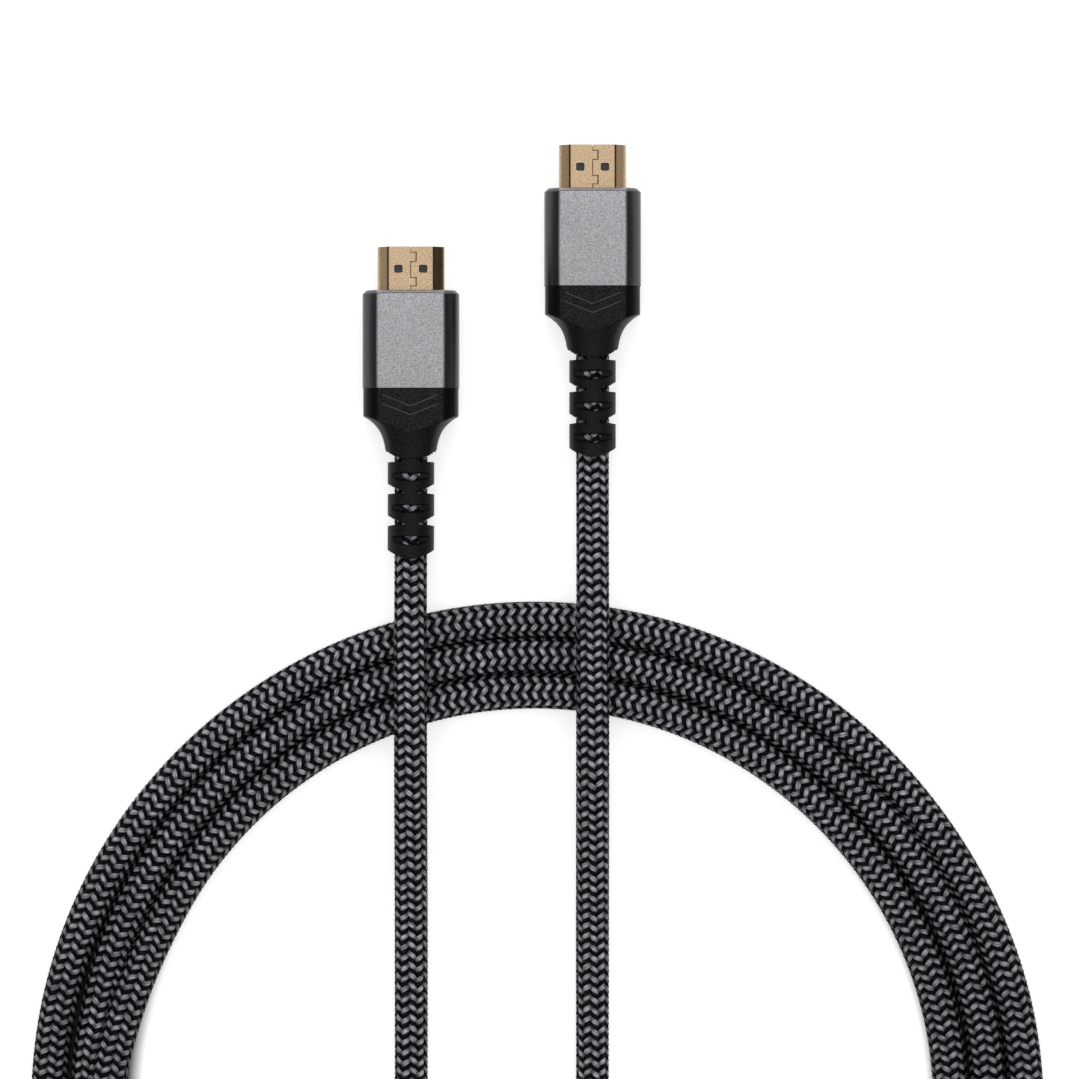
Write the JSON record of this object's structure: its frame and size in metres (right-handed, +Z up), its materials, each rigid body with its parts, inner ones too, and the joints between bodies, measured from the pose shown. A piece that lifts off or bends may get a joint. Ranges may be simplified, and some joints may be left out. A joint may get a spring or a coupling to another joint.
{
  "type": "digital audio and video cable",
  "caption": "Braided digital audio and video cable with a gold-plated plug at each end, aluminium housings and slotted strain reliefs, coiled flat.",
  "frame": {"origin": "on the floor, at the middle of the box around the two connectors", "axes": "+Z up from the floor that the cable lies on; +Y the way both plugs point; +X from the left connector to the right one; the coil lies towards -Y"},
  "size_m": [0.2102, 0.3394, 0.0141],
  "materials": {
    "gold_plate": "gold plating over steel, satin",
    "contact_gold": "gold plating, bright",
    "insulator": "moulded, matt",
    "anodised_aluminium": "bead-blasted and anodised grey",
    "moulded_black": "fine texture, satin",
    "braid": "grey and black braided sleeve"
  },
  "bodies": {
    "root": {"plug_shell_a": "gold_plate", "plug_insulator_a": "insulator", "contact_a_upper_1": "contact_gold", "contact_a_upper_2": "contact_gold", "contact_a_upper_3": "contact_gold", "contact_a_upper_4": "contact_gold", "contact_a_upper_5": "contact_gold", "contact_a_upper_6": "contact_gold", "contact_a_upper_7": "contact_gold", "contact_a_upper_8": "contact_gold", "contact_a_upper_9": "contact_gold", "contact_a_upper_10": "contact_gold", "contact_a_lower_1": "contact_gold", "contact_a_lower_2": "contact_gold", "contact_a_lower_3": "contact_gold", "contact_a_lower_4": "contact_gold", "contact_a_lower_5": "contact_gold", "contact_a_lower_6": "contact_gold", "contact_a_lower_7": "contact_gold", "contact_a_lower_8": "contact_gold", "contact_a_lower_9": "contact_gold", "aluminium_housing_a": "anodised_aluminium", "strain_relief_a": "moulded_black", "plug_shell_b": "gold_plate", "plug_insulator_b": "insulator", "contact_b_upper_1": "contact_gold", "contact_b_upper_2": "contact_gold", "contact_b_upper_3": "contact_gold", "contact_b_upper_4": "contact_gold", "contact_b_upper_5": "contact_gold", "contact_b_upper_6": "contact_gold", "contact_b_upper_7": "contact_gold", "contact_b_upper_8": "contact_gold", "contact_b_upper_9": "contact_gold", "contact_b_upper_10": "contact_gold", "contact_b_lower_1": "contact_gold", "contact_b_lower_2": "contact_gold", "contact_b_lower_3": "contact_gold", "contact_b_lower_4": "contact_gold", "contact_b_lower_5": "contact_gold", "contact_b_lower_6": "contact_gold", "contact_b_lower_7": "contact_gold", "contact_b_lower_8": "contact_gold", "contact_b_lower_9": "contact_gold", "aluminium_housing_b": "anodised_aluminium", "strain_relief_b": "moulded_black", "cable_tail_a": "braid", "cable_tail_b": "braid", "cable_coil": "braid"}
  },
  "joints": []
}
